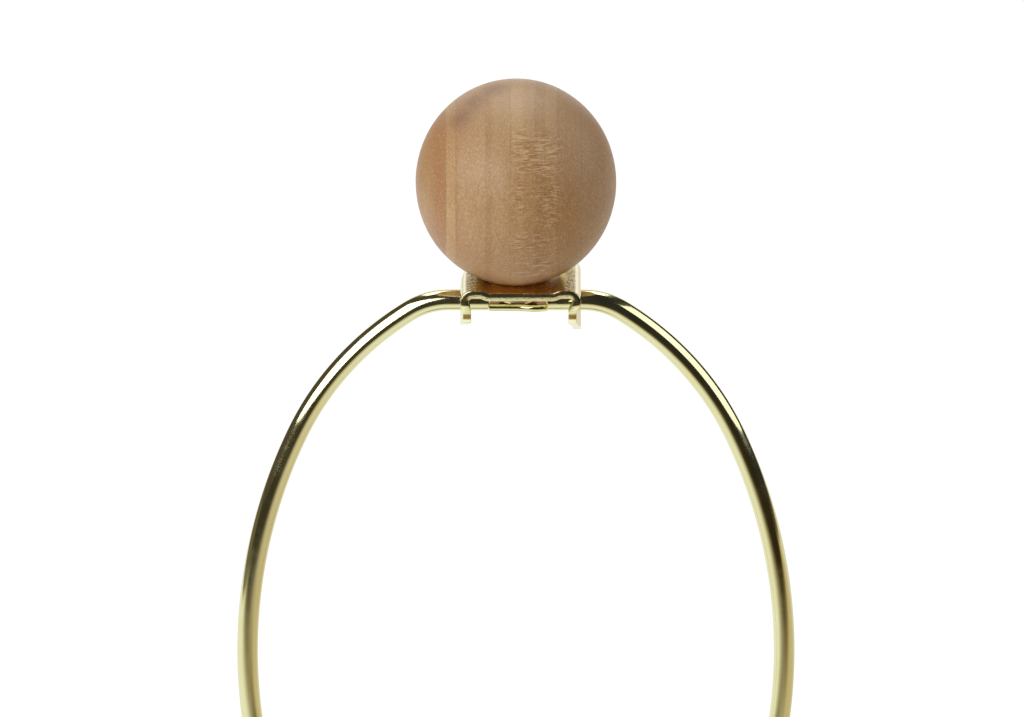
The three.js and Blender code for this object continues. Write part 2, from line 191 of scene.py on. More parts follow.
def add_studio():
    bpy.context.scene.view_settings.view_transform = "Standard"
    add_world()
    wide, back = FLOOR_REACH, BACKDROP_Y
    floor = [(-wide, -wide, 0), (wide, -wide, 0), (wide, back, 0), (-wide, back, 0)]
    add_plane("floor", floor, glowing_material("floor_paper", floor_glow))
    half, high = BACKDROP_HALF_WIDTH, BACKDROP_HEIGHT
    wall = [(-half, back, 0), (half, back, 0), (half, back, high), (-half, back, high)]
    add_plane("backdrop", wall, glowing_material("backdrop_paper", backdrop_glow))
    add_softbox("left_softbox", -46, 27, 1.0, (1.2, 0.86), 3.0, roll=-14)
    add_softbox("right_softbox", 83, 27, 1.0, (1.25, 0.74), 1.5)
    add_softbox("top_softbox", 180, 62, 1.1, (0.85, 0.75), 2.3)


# ---- mesh helpers ----

SHARP = math.radians(38)


def finish_piece(name, bm, material, body, node):
    """Turn a bmesh into a piece that rides on a body and stands for its CAD node."""
    bmesh.ops.recalc_face_normals(bm, faces=bm.faces)
    for face in bm.faces:
        face.smooth = True
    for edge in bm.edges:
        edge.smooth = len(edge.link_faces) == 2 and edge.calc_face_angle() < SHARP
    mesh = bpy.data.meshes.new(name)
    bm.to_mesh(mesh)
    bm.free()
    mesh.materials.append(material)
    piece = bpy.data.objects.new(name, mesh)
    bpy.context.scene.collection.objects.link(piece)
    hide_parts(node)
    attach(piece, body)


def apply_modifiers(bm, *setups):
    """Run modifiers on a bmesh: each setup is (type, {attribute: value})."""
    mesh = bpy.data.meshes.new("work")
    bm.to_mesh(mesh)
    bm.free()
    work = bpy.data.objects.new("work", mesh)
    bpy.context.scene.collection.objects.link(work)
    for kind, values in setups:
        modifier = work.modifiers.new(kind.lower(), kind)
        for key, value in values.items():
            setattr(modifier, key, value)
    evaluated = work.evaluated_get(bpy.context.evaluated_depsgraph_get())
    result = bmesh.new()
    result.from_mesh(evaluated.to_mesh())
    evaluated.to_mesh_clear()
    bpy.data.objects.remove(work)
    bpy.data.meshes.remove(mesh)
    return result


def cut(bm, cutter, operation="DIFFERENCE"):
    """Cut one bmesh with another; both are used up."""
    mesh = bpy.data.meshes.new("cutter")
    bmesh.ops.recalc_face_normals(cutter, faces=cutter.faces)
    cutter.to_mesh(mesh)
    cutter.free()
    tool = bpy.data.objects.new("cutter", mesh)
    bpy.context.scene.collection.objects.link(tool)
    bmesh.ops.recalc_face_normals(bm, faces=bm.faces)
    result = apply_modifiers(bm, ("BOOLEAN", {"object": tool, "operation": operation, "solver": "EXACT"}))
    bpy.data.objects.remove(tool)
    bpy.data.meshes.remove(mesh)
    return result


def bevel(bm, width, segments, angle):
    """Round the edges sharper than an angle in degrees."""
    return apply_modifiers(bm, ("BEVEL", {"width": width, "segments": segments, "limit_method": "ANGLE",
                                          "angle_limit": math.radians(angle), "miter_outer": "MITER_ARC",
                                          "use_clamp_overlap": True}))


def loft(loops, closed_ends=True):
    """Skin a list of equal-length closed loops of points."""
    bm = bmesh.new()
    rows = [[bm.verts.new(point) for point in loop] for loop in loops]
    count = len(rows[0])
    for a, b in zip(rows, rows[1:]):
        for k in range(count):
            bm.faces.new((a[k], a[(k + 1) % count], b[(k + 1) % count], b[k]))
    if closed_ends:
        bm.faces.new(rows[0])
        bm.faces.new(rows[-1])
    return bm


def turned(profile, segments, centre=(0, 0, 0)):
    """Revolve a profile of (radius, height); a zero radius makes a pole, otherwise it closes on itself."""
    bm = bmesh.new()
    cx, cy, cz = centre
    rows = []
    for radius, height in profile:
        count = 1 if radius < 1e-9 else segments
        row = []
        for k in range(count):
            angle = TURN * k / count
            x, y = radius * math.cos(angle), radius * math.sin(angle)
            row.append(bm.verts.new((cx + x, cy + y, cz + height)))
        rows.append(row)
    pairs = list(zip(rows, rows[1:]))
    if len(rows[0]) > 1 and len(rows[-1]) > 1:
        pairs.append((rows[-1], rows[0]))
    for a, b in pairs:
        for k in range(segments):
            corners = [a[k % len(a)], a[(k + 1) % len(a)], b[(k + 1) % len(b)], b[k % len(b)]]
            distinct = list(dict.fromkeys(corners))
            if len(distinct) > 2:
                bm.faces.new(distinct)
    return bm


def rounded_profile(points, radius, steps):
    """Round each corner of a profile polyline of (radius, height) points, except its first and last."""
    out = [points[0]]
    for before, corner, after in zip(points, points[1:], points[2:]):
        a, b, c = Vector(before), Vector(corner), Vector(after)
        reach = min(radius, (a - b).length * 0.45, (c - b).length * 0.45)
        start = b + (a - b).normalized() * reach
        end = b + (c - b).normalized() * reach
        for k in range(steps + 1):
            t = k / steps
            out.append(tuple(start * (1 - t) ** 2 + b * 2 * t * (1 - t) + end * t ** 2))
    out.append(points[-1])
    return out


def smooth(t):
    """0 up to t = 0 and 1 from t = 1, rising smoothly between."""
    t = min(max(t, 0.0), 1.0)
    return t * t * (3 - 2 * t)


# ---- materials ----

BRASS_PALE = (0.82, 0.80, 0.47)
BRASS_DEEP = (0.80, 0.76, 0.42)
SHEET_DEEP = (0.82, 0.73, 0.40)
TURNED_PALE = (0.80, 0.68, 0.36)
TURNED_DEEP = (0.76, 0.62, 0.31)
# painted shade on the rod's top under the bracket's plate
UNDER_PLATE_SHADE_BROWN = (0.26, 0.11, 0.02)
# the painted reflection of the wooden ball in the middle of the bracket's top
BALL_REFLECTION_BROWNS = ((0.90, 0.57, 0.20), (1.0, 0.73, 0.32))

WOOD_PALE = (0.61, 0.390, 0.185)
WOOD_PLAIN = (0.53, 0.325, 0.145)
WOOD_DEEP = (0.45, 0.255, 0.105)
WOOD_DULL = (0.46, 0.285, 0.145)
WOOD_REDDISH = (0.44, 0.225, 0.095)
WOOD_TAN = (0.52, 0.31, 0.155)
# Growth bands from left to right: where each begins in millimetres, how wide it is, and its colour.
WOOD_BANDS = ((-17.6, 0.6, WOOD_PLAIN), (-15.2, 1.5, WOOD_REDDISH), (-13.4, 1.8, WOOD_PALE),
              (-11.3, 1.5, WOOD_TAN), (-9.0, 3.0, WOOD_PLAIN), (-5.6, 0.6, WOOD_DEEP),
              (-4.2, 2.4, WOOD_PLAIN), (-1.0, 2.2, WOOD_PALE), (1.8, 1.6, WOOD_PLAIN),
              (4.0, 1.4, WOOD_DEEP), (5.9, 1.6, WOOD_PLAIN), (8.2, 2.6, WOOD_DEEP), (12.6, 1.2, WOOD_DULL))
WOOD_REACH = 20    # millimetres that the bands cover on each side of the middle
# The dark lines between some bands: where each stands in millimetres, and how dark it is.
RING_LINES = ((-13.5, 0.65), (-11.4, 0.42), (-5.7, 0.42), (-1.1, 0.40), (3.8, 0.30), (8.0, 0.38),
              (12.4, 0.42))
# Darker places high on the left: X and Y in millimetres, and the height above the ball's middle.
SMUDGES = ((-10.5, -6.6, 14.7), (-7.5, -4.5, 17.0), (-4.4, -2.3, 18.6))


class Nodes:
    """A material's node tree, with short calls for what the materials here share."""

    def __init__(self, name):
        self.material = bpy.data.materials.new(name)
        self.material.use_nodes = True
        self.tree = self.material.node_tree
        self.shader = self.tree.nodes["Principled BSDF"]

    def add(self, kind, inputs=None, **settings):
        node = self.tree.nodes.new(kind)
        for key, value in settings.items():
            setattr(node, key, value)
        for key, value in (inputs or {}).items():
            if isinstance(value, bpy.types.NodeSocket):
                self.tree.links.new(value, node.inputs[key])
            else:
                node.inputs[key].default_value = value
        return node

    def link(self, socket, name):
        self.tree.links.new(socket, self.shader.inputs[name])

    def coordinates(self, scale, attribute=None):
        """The point's own place, or an attribute of the mesh, scaled along each axis."""
        if attribute:
            source = self.add("ShaderNodeAttribute", attribute_name=attribute).outputs["Vector"]
        else:
            source = self.add("ShaderNodeTexCoord").outputs["Object"]
        return self.add("ShaderNodeMapping", {"Vector": source, "Scale": scale}).outputs["Vector"]

    def noise(self, vector, scale=1.0, detail=2.0, roughness=0.5, distortion=0.0):
        node = self.add("ShaderNodeTexNoise", {"Vector": vector, "Scale": scale, "Detail": detail,
                                               "Roughness": roughness, "Distortion": distortion})
        return node.outputs["Fac"]

    def ramp(self, value, stops):
        """Colours along a value from 0 to 1; stops are (position, colour) with the two ends included."""
        node = self.add("ShaderNodeValToRGB", {"Fac": value})
        elements = node.color_ramp.elements
        elements[0].color = (*stops[0][1], 1)
        elements[1].color = (*stops[-1][1], 1)
        for position, colour in stops[1:-1]:
            elements.new(position).color = (*colour, 1)
        return node.outputs["Color"]

    def spread(self, value, low, high, to_low, to_high):
        """A value from low to high stretched to run from to_low to to_high, and clamped there."""
        node = self.add("ShaderNodeMapRange", {"Value": value, "From Min": low, "From Max": high,
                                               "To Min": to_low, "To Max": to_high})
        return node.outputs["Result"]

    def fade(self, value, low, high):
        """0 at low rising smoothly to 1 at high (which may be below low)."""
        node = self.add("ShaderNodeMapRange", {"Value": value, "From Min": low, "From Max": high},
                        interpolation_type="SMOOTHSTEP")
        return node.outputs["Result"]

    def maths(self, operation, a, b=0.0):
        node = self.add("ShaderNodeMath", {0: a, 1: b}, operation=operation)
        return node.outputs["Value"]

    def times(self, first, *others):
        for other in others:
            first = self.maths("MULTIPLY", first, other)
        return first

    def mix(self, factor, a, b, blend="MIX"):
        """Two colours blended; the factor and both colours may be sockets or plain values."""
        node = self.tree.nodes.new("ShaderNodeMix")
        node.data_type = "RGBA"
        node.blend_type = blend
        for index, value in ((0, factor), (6, a), (7, b)):
            if isinstance(value, bpy.types.NodeSocket):
                self.tree.links.new(value, node.inputs[index])
            elif index == 0:
                node.inputs[index].default_value = value
            else:
                node.inputs[index].default_value = (*value, 1)
        return node.outputs[2]

    def facing(self, axis, low, high):
        """1 where the surface faces along an object axis ("-Z" and so on) and 0 where it looks away."""
        normal = self.add("ShaderNodeTexCoord").outputs["Normal"]
        part = self.add("ShaderNodeSeparateXYZ", {"Vector": normal}).outputs[axis[-1]]
        if axis[0] == "-":
            part = self.times(part, -1)
        if axis[0] == "|":
            part = self.maths("ABSOLUTE", part)
        return self.fade(part, low, high)

    def place(self):
        """The point's own coordinates in millimetres."""
        vector = self.coordinates((1 / MM, 1 / MM, 1 / MM))
        outputs = self.add("ShaderNodeSeparateXYZ", {"Vector": vector}).outputs
        return outputs["X"], outputs["Y"], outputs["Z"]

    def window(self, value, low, high, soft):
        """1 between low and high, falling to 0 over soft at both ends."""
        rise = self.fade(value, low - soft, low)
        return self.times(rise, self.fade(value, high + soft, high))

    def bump(self, height, strength, distance, normal=None):
        inputs = {"Height": height, "Strength": strength, "Distance": distance}
        if normal is not None:
            inputs["Normal"] = normal
        return self.add("ShaderNodeBump", inputs).outputs["Normal"]


class Brass(Nodes):
    """Brass plate: faint colour drift, fine plating ripple, drawing lines and the odd pit."""

    def __init__(self, name, pale, deep, roughness, grain=1.0):
        super().__init__(name)
        self.shader.inputs["Metallic"].default_value = 1
        cloud = self.noise(self.coordinates((1, 1, 1)), 90, 3)
        self.colour = self.mix(self.spread(cloud, 0.35, 0.65, 0, 1), pale, deep)

        ripple = self.noise(self.coordinates((1, 1, 1)), 900, 2)
        self.normal = self.bump(ripple, 0.025 * grain, 0.00012)
        pits = self.spread(self.noise(self.coordinates((1, 1, 1)), 2600, 1), 0.70, 0.80, 0, 1)
        self.normal = self.bump(pits, 0.10 * grain, 0.00004, self.normal)
        wear = self.noise(self.coordinates((1, 1, 1)), 260, 4)
        self.rough = self.spread(wear, 0.35, 0.75, roughness * 0.75, roughness * 1.7)

    def finish(self):
        self.link(self.colour, "Base Color")
        self.link(self.rough, "Roughness")
        self.link(self.normal, "Normal")
        return self.material


def wire_material():
    """The drawn rod: fine lines along it, and painted shade in dark brown on its top under the bracket's
    plate, where the flat was struck.
    """
    n = Brass("plated_wire", BRASS_PALE, BRASS_DEEP, 0.09, grain=0.5)
    lines = n.noise(n.coordinates((3.5, 3.5, 0.05), "rod"), 1, 2, 0.6)
    n.normal = n.bump(lines, 0.025, 0.00008, n.normal)
    n.rough = n.maths("ADD", n.rough, n.spread(lines, 0.45, 0.75, 0, 0.05))

    x, _, _ = n.place()
    # painted shade: the rod's upward face under the bracket's plate, the struck flat included, is darkened to
    # brown
    under_plate_shade = n.times(n.window(x, -8.4, 5.8, 0.3), n.facing("+Z", 0.82, 0.95))
    n.colour = n.mix(under_plate_shade, n.colour, UNDER_PLATE_SHADE_BROWN)
    n.rough = n.maths("ADD", n.rough, n.times(under_plate_shade, 0.15))
    dents = n.noise(n.coordinates((700, 1500, 1500)), 1, 3)
    dented = n.times(n.window(x, -5.4, 9.5, 0.8), 0.35)
    n.normal = n.bump(dents, dented, 0.00010, n.normal)
    return n.finish()


def bracket_material():
    """Stamped sheet: crinkled beside the bends with painted shade in the crinkle's hollows, upward faces
    painted a deeper gold, a painted brown reflection of the wooden ball in the middle of its top, torn along
    its cut edges.
    """
    n = Brass("stamped_bracket", BRASS_PALE, SHEET_DEEP, 0.12, grain=1.5)
    x, _, z = n.place()
    across = n.maths("ABSOLUTE", n.maths("SUBTRACT", x, BRACKET_X / MM))
    top = n.facing("+Z", 0.75, 0.95)

    # painted reflection colour: the upward faces are tinted a deeper gold
    n.colour = n.mix(n.facing("+Z", 0.92, 0.99), n.colour, (1.0, 0.93, 0.40), "MULTIPLY")
    # painted reflection: brown streaks on the middle of the top, under the wooden ball
    middle = n.times(top, n.fade(across, 9.4, 5.2))
    streak = n.noise(n.coordinates((60, 900, 60)), 1, 3)
    brown = n.mix(n.spread(streak, 0.35, 0.65, 0, 1), *BALL_REFLECTION_BROWNS)
    n.colour = n.mix(n.times(middle, 0.9), n.colour, brown)
    n.rough = n.maths("ADD", n.rough, n.times(top, 0.12))

    beside = n.times(top, n.window(across, 8.9, 10.2, 0.9))
    crinkle = n.noise(n.coordinates((1500, 1100, 1500)), 1, 4, 0.6)
    n.normal = n.bump(crinkle, beside, 0.00045, n.normal)
    # painted shade: the crinkle's hollows beside the bends are darkened
    crinkle_shade = n.times(beside, n.spread(crinkle, 0.40, 0.56, 1.0, 0.10))
    n.colour = n.mix(crinkle_shade, n.colour, (0.36, 0.23, 0.06))

    edge = n.facing("|Y", 0.60, 0.80)
    ear = n.fade(z, AXIS_Z / MM + 3.0, AXIS_Z / MM + 1.6)
    n.colour = n.mix(n.times(ear, edge), n.colour, (0.96, 0.95, 0.57))
    patch = n.window(z, AXIS_Z / MM - 0.75, AXIS_Z / MM + 0.1, 0.3)
    n.colour = n.mix(n.times(patch, edge), n.colour, (0.86, 0.67, 0.30))
    lower = n.spread(n.facing("-Z", 0.04, 0.20), 0, 1, 0.16, 0.80)
    ragged = n.times(edge, lower, n.spread(ear, 0, 1, 1, 0.25))
    torn = n.noise(n.coordinates((1300, 1300, 2300)), 1, 4, 0.65)
    n.normal = n.bump(torn, ragged, 0.00022, n.normal)
    return n.finish()


def growth_bands(n, band):
    """The wood's colour across its growth bands, where band runs across them in millimetres."""
    stops = [(0, WOOD_PLAIN)]
    for place, width, colour in WOOD_BANDS:
        for edge in (place, place + width):
            stops.append(((edge + WOOD_REACH) / (2 * WOOD_REACH), colour))
    stops.append((1, WOOD_DULL))
    return n.ramp(n.spread(band, -WOOD_REACH, WOOD_REACH, 0, 1), stops)


def ring_lines(n, band):
    """How strongly each point shows one of the thin broken lines between growth bands."""
    line = None
    for place, strength in RING_LINES:
        own_scale = 1 + 0.1 * place    # breaks each line in other places
        broken = n.noise(n.coordinates((150, 150, 30)), own_scale, 2)
        broken = n.spread(broken, 0.35, 0.60, 0.25, 1)
        thin = n.times(n.window(band, place - 0.05, place + 0.05, 0.22), strength, broken)
        line = thin if line is None else n.maths("MAXIMUM", line, thin)
    return line


def smudges(n, blotch):
    """How strongly each point shows one of the ragged dark smudges."""
    near = 100.0
    for x, y, height in SMUDGES:
        inputs = {0: n.coordinates((1 / MM, 1 / MM, 1 / MM)), 1: (x, y, BALL_CENTRE / MM + height)}
        away = n.add("ShaderNodeVectorMath", inputs, operation="DISTANCE").outputs["Value"]
        near = n.maths("MINIMUM", away, near)
    near = n.maths("ADD", near, n.spread(blotch, 0.3, 0.7, -1.2, 1.2))
    return n.times(n.fade(near, 5.0, 0.8), 0.80)


def ray_fleck(n, x, y, height):
    """Short dashes across the grain, curled at mid height, and where on the ball they show."""
    sway = n.noise(n.coordinates((130, 130, 130)), 1, 2)
    curl = n.spread(n.fade(n.maths("ABSOLUTE", height), 6.0, 0.5), 0, 1, 0.22, 1)
    sway = n.times(n.spread(sway, 0.25, 0.75, -1.7, 1.7), curl)
    run = n.add("ShaderNodeCombineXYZ", {"X": n.times(x, 0.62),
                                         "Y": n.times(y, 0.10),
                                         "Z": n.times(n.maths("ADD", height, sway), 5.0)})
    dashes = n.noise(run.outputs["Vector"], 1, 1, 0.5)
    patchy = n.noise(n.coordinates((230, 230, 320)), 1, 2)
    patchy = n.spread(patchy, 0.38, 0.56, 0.12, 1)
    zone = n.times(n.window(x, 0.3, 7.4, 2.2), n.window(height, -14.5, 12.5, 3.5), patchy)
    return dashes, zone


def wood_material():
    """Maple turned with its grain upright: growth bands, ray fleck with a curl, fibres and pores."""
    n = Nodes("maple")
    n.shader.inputs["Specular IOR Level"].default_value = 0.36
    n.shader.inputs["Sheen Weight"].default_value = 0.05
    n.shader.inputs["Sheen Roughness"].default_value = 0.4
    x, y, z = n.place()
    height = n.maths("SUBTRACT", z, BALL_CENTRE / MM)

    waver = n.noise(n.coordinates((90, 90, 22)), 1, 2)
    band = n.maths("ADD", x, n.spread(waver, 0.3, 0.7, -0.22, 0.22))
    colour = growth_bands(n, band)
    colour = n.mix(ring_lines(n, band), colour, (0.27, 0.135, 0.062))

    blotch = n.noise(n.coordinates((60, 60, 35)), 1, 3)
    colour = n.mix(n.spread(blotch, 0.35, 0.70, 0, 0.60), colour, (0.46, 0.225, 0.095))
    mottle = n.spread(n.noise(n.coordinates((210, 210, 120)), 1, 3, 0.6), 0.38, 0.62, 0.35, 1)
    # painted highlight: a mottled pale glow left of the ball's middle
    painted_highlight = n.times(n.window(x, -9.5, -3.0, 2.5), n.window(height, -3.0, 7.0, 6.0), mottle, 0.38)
    colour = n.mix(painted_highlight, colour, (0.68, 0.47, 0.28))
    warmed = n.times(n.window(x, 0.0, 6.0, 2.0), n.window(height, -13.0, 6.0, 4.0), mottle, 0.50)
    colour = n.mix(warmed, colour, (0.45, 0.235, 0.085))
    colour = n.mix(smudges(n, blotch), colour, (0.27, 0.130, 0.080))

    dashes, zone = ray_fleck(n, x, y, height)
    light = n.times(n.spread(dashes, 0.53, 0.62, 0, 1), zone, 0.76)
    dark = n.times(n.spread(dashes, 0.47, 0.38, 0, 1), zone, 0.80)
    colour = n.mix(light, colour, (0.72, 0.51, 0.31))
    colour = n.mix(dark, colour, (0.37, 0.165, 0.052))

    fleck = n.noise(n.coordinates((3200, 3200, 2000)), 1, 3, 0.7, 0.5)
    colour = n.mix(n.spread(fleck, 0.50, 0.68, 0, 0.42), colour, (0.74, 0.53, 0.31))
    colour = n.mix(n.spread(fleck, 0.50, 0.34, 0, 0.42), colour, (0.33, 0.165, 0.070))
    # paler and greyer towards the top: partly end grain, partly a painted sheen from the overhead light
    end_grain_and_sheen = n.times(n.facing("+Z", 0.45, 0.98), 0.26)
    colour = n.mix(end_grain_and_sheen, colour, (0.50, 0.42, 0.33))

    fibres = n.noise(n.coordinates((2600, 2600, 190)), 1, 3, 0.6)
    colour = n.mix(n.spread(fibres, 0.40, 0.75, 0, 0.22), colour, (0.32, 0.17, 0.085))
    pores = n.spread(n.noise(n.coordinates((4200, 4200, 900)), 1, 2), 0.60, 0.72, 0, 1)
    colour = n.mix(n.times(pores, 0.16), colour, (0.22, 0.115, 0.055))
    n.link(colour, "Base Color")

    n.link(n.spread(fibres, 0.3, 0.7, 0.38, 0.50), "Roughness")
    normal = n.bump(fibres, 0.20, 0.00006)
    normal = n.bump(fleck, 0.25, 0.00005, normal)
    normal = n.bump(pores, -0.30, 0.00006, normal)
    n.link(normal, "Normal")
    return n.material


# ---- bow ----

WIRE_RADIUS = 2.0 * MM
WIRE_SIDES = 64
BENDS = ((13.8 * MM, 32.6), (58 * MM, 32.7), (104.7 * MM, 24.7))     # radius, degrees
TOP_HALF_LENGTH = 12.8 * MM
KNEE_RADIUS = 30 * MM
LEG_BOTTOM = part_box("bow_wire")[0][2]
LEG_END_ROUNDING = 0.5 * MM
FLAT_HALF_LENGTH = 5.5 * MM
FLAT_TOP = -0.15 * MM
FLAT_BOTTOM = -1.75 * MM
FLAT_HALF_WIDTH = 2.15 * MM
FLAT_SHIFT = 0.4 * MM
BULGE_PLACE = 3.7 * MM


def bow_segments():
    """The half bow from the middle of its top down to a leg: (length, radius, turn)."""
    segments = [(TOP_HALF_LENGTH, 0, 0)]
    x = TOP_HALF_LENGTH
    drop = 0
    heading = 0
    for radius, degrees in BENDS:
        following = heading + math.radians(degrees)
        x += radius * (math.sin(following) - math.sin(heading))
        drop += radius * (math.cos(heading) - math.cos(following))
        heading = following
        segments.append((radius * math.radians(degrees), radius, math.radians(degrees)))
    side = BENDS[-1][0]
    knee = math.acos(1 - (x - LEG_X) / (side + KNEE_RADIUS))
    segments.append((side * knee, side, knee))
    segments.append((KNEE_RADIUS * knee, -KNEE_RADIUS, -knee))
    leg = AXIS_Z - drop - (side + KNEE_RADIUS) * math.sin(knee) - LEG_BOTTOM
    segments.append((leg, 0, 0))
    return segments


SEGMENTS = bow_segments()
HALF_BOW = sum(length for length, _, _ in SEGMENTS)


def bow_point(s):
    """The rod's centre and heading at a signed distance along it from the middle of the top."""
    left = abs(s)
    x = drop = heading = 0.0
    for length, radius, turn in SEGMENTS:
        run = min(left, length)
        if radius == 0:
            x += run * math.cos(heading)
            drop += run * math.sin(heading)
        else:
            following = heading + turn * run / length
            x += radius * (math.sin(following) - math.sin(heading))
            drop += radius * (math.cos(heading) - math.cos(following))
            heading = following
        left -= run
        if left <= 0:
            break
    side = math.copysign(1, s)
    return Vector((side * x, 0, AXIS_Z - drop)), Vector((math.cos(heading), 0, -side * math.sin(heading)))


def stations():
    """Distances along the rod, close together at the ends of the coined flat."""
    count = round(2 * HALF_BOW / (0.7 * MM))
    marks = {round(-HALF_BOW + k * 2 * HALF_BOW / count, 7) for k in range(count + 1)}
    for edge in (FLAT_SHIFT - FLAT_HALF_LENGTH, FLAT_SHIFT + FLAT_HALF_LENGTH):
        marks = {mark for mark in marks if abs(mark - edge) > 1.1 * MM}
        marks |= {round(edge + k * 0.07 * MM, 7) for k in range(-15, 16)}
    return sorted(marks)


def bulge(s):
    """How much wider than round the squeezed metal spread, most of all to one side of its middle."""
    broad = smooth(1 - abs(s - FLAT_SHIFT) / (6.5 * MM))
    local = smooth(1 - abs(s - BULGE_PLACE) / (3.4 * MM))
    return 0.15 * MM * broad + 0.60 * MM * local


def bow_section(s):
    """Points of the rod's section at s, as (sideways, up): round, or squeezed in the coined flat."""
    inside = FLAT_HALF_LENGTH - abs(s - FLAT_SHIFT)
    squeeze = smooth((inside + 0.20 * MM) / (0.30 * MM))
    middle = (FLAT_TOP + FLAT_BOTTOM) / 2
    half_height = (FLAT_TOP - FLAT_BOTTOM) / 2
    wider = bulge(s)
    straight = FLAT_HALF_WIDTH + wider - half_height
    points = []
    for k in range(WIRE_SIDES):
        c, z = math.cos(TURN * k / WIRE_SIDES), math.sin(TURN * k / WIRE_SIDES)
        flat = Vector((straight * max(-1, min(1, 2.2 * c)) + half_height * c, middle + half_height * z))
        rod = Vector((c * (WIRE_RADIUS + 0.5 * wider), z * WIRE_RADIUS))
        points.append(rod * (1 - squeeze) + flat * squeeze)
    return points


def make_bow(material):
    out = Vector((0, -1, 0))
    places = stations()
    loops = []
    for s in places:
        centre, heading = bow_point(s)
        up = Vector((-heading.z, 0, heading.x))
        scale = 1 - 0.18 * (1 - smooth((HALF_BOW - abs(s)) / LEG_END_ROUNDING))
        loops.append([centre + (out * a + up * b) * scale for a, b in bow_section(s)])
    bm = loft(loops)
    layer = bm.verts.layers.float_vector.new("rod")
    bm.verts.ensure_lookup_table()
    for row, s in enumerate(places):
        for k in range(WIRE_SIDES):
            angle = TURN * k / WIRE_SIDES
            place = Vector((math.cos(angle), math.sin(angle), s / WIRE_RADIUS))
            bm.verts[row * WIRE_SIDES + k][layer] = place
    finish_piece("bow_rod", bm, material, "bow", "bow_wire")


# ---- finial ----

BALL_RADIUS = 19.1 * MM
BALL_FLAT_RADIUS = 5.3 * MM
BALL_RINGS = 150
BALL_SEGMENTS = 224
BORE_RADIUS = 4.3 * MM
BORE_DEPTH = 13.5 * MM
PITCH = 0.9407 * MM
THREAD_SEGMENTS = 72
STUD_ROOT = 2.62 * MM
STUD_CREST = 3.08 * MM
INSERT_ROOT = 3.42 * MM
INSERT_CREST = 3.16 * MM
HEAD_RADIUS = 3.75 * MM
HEAD_HEIGHT = 2.4 * MM
HEAD_ROUNDING = 0.35 * MM
HEAD_CROWN = 0.07 * MM
HEAD_SHIFT = 0.4 * MM
HEAD_GROOVE = (2.8 * MM, 20 * MM, 0.8 * MM)


def make_ball(material):
    flat_angle = math.asin(BALL_FLAT_RADIUS / BALL_RADIUS)
    flat = -BALL_HALF_HEIGHT * math.cos(flat_angle)
    profile = [(0, flat + BORE_DEPTH), (BORE_RADIUS - 1 * MM, flat + BORE_DEPTH - 0.3 * MM),
               (BORE_RADIUS, flat + BORE_DEPTH - 1 * MM), (BORE_RADIUS, flat + 0.3 * MM),
               (BORE_RADIUS + 0.15 * MM, flat + 0.02 * MM), (BORE_RADIUS + 0.4 * MM, flat)]
    for k in range(BALL_RINGS + 1):
        angle = flat_angle + (math.pi - flat_angle) * k / BALL_RINGS
        radius = 0 if k == BALL_RINGS else BALL_RADIUS * math.sin(angle)
        profile.append((radius, -BALL_HALF_HEIGHT * math.cos(angle)))
    bm = turned(profile, BALL_SEGMENTS, (0, 0, BALL_CENTRE))
    for vert in bm.verts:
        away = vert.co - Vector((0, 0, BALL_CENTRE))
        if away.length > BALL_RADIUS * 0.99:
            wave = noise.noise(vert.co * 70) + 0.4 * noise.noise(vert.co * 190)
            vert.co -= away.normalized() * abs(wave) * 0.05 * MM
    finish_piece("turned_ball", bm, material, "finial", "finial_ball")


def thread_radius(angle, height, root, crest):
    phase = (height / PITCH - angle / TURN) % 1.0
    wave = 1 - abs(2 * phase - 1)
    return root + (crest - root) * smooth((wave - 0.12) / 0.76)


def threaded(bottom, top, root, crest):
    """Rows of a threaded wall from bottom to top that run out smoothly at both ends."""
    rows = []
    count = round((top - bottom) / (PITCH / 14))
    for k in range(count + 1):
        height = bottom + (top - bottom) * k / count
        fade = smooth(min(height - bottom, top - height) / (0.8 * PITCH))
        row = []
        for j in range(THREAD_SEGMENTS):
            angle = TURN * j / THREAD_SEGMENTS
            radius = root + (thread_radius(angle, height, root, crest) - root) * fade
            row.append(Vector((radius * math.cos(angle), radius * math.sin(angle), height)))
        rows.append(row)
    return rows


def ring(radius, height):
    angles = [TURN * j / THREAD_SEGMENTS for j in range(THREAD_SEGMENTS)]
    return [Vector((radius * math.cos(angle), radius * math.sin(angle), height)) for angle in angles]


def make_stud(material):
    low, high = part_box("finial_stud")
    rows = threaded(low[2] + HEAD_HEIGHT - 0.2 * MM, high[2] - 0.55 * MM, STUD_ROOT, STUD_CREST)
    rows += [ring(STUD_ROOT - 0.25 * MM, high[2] - 0.25 * MM), ring(STUD_ROOT - 0.6 * MM, high[2])]

    flat_radius = HEAD_RADIUS - HEAD_ROUNDING
    dome = [(0, 0), (flat_radius - 2 * HEAD_ROUNDING, 0), (flat_radius, HEAD_CROWN)]
    steps = 6
    for k in range(1, steps + 1):
        angle = math.pi / 2 * k / steps
        dome.append((flat_radius + HEAD_ROUNDING * math.sin(angle),
                     HEAD_CROWN + HEAD_ROUNDING * (1 - math.cos(angle))))
    dome += [(HEAD_RADIUS, HEAD_HEIGHT - 0.15 * MM), (HEAD_RADIUS - 0.15 * MM, HEAD_HEIGHT),
             (0, HEAD_HEIGHT)]
    head = turned(dome, 96, (HEAD_SHIFT, 0, low[2]))
    groove = bmesh.new()
    bmesh.ops.create_cube(groove, size=1)
    groove.transform(Matrix.Translation((HEAD_SHIFT, 0, low[2])) @ Matrix.Diagonal(HEAD_GROOVE).to_4x4())
    stud = cut(loft(rows), cut(head, groove), "UNION")
    finish_piece("threaded_stud", stud, material, "bracket", "finial_stud")


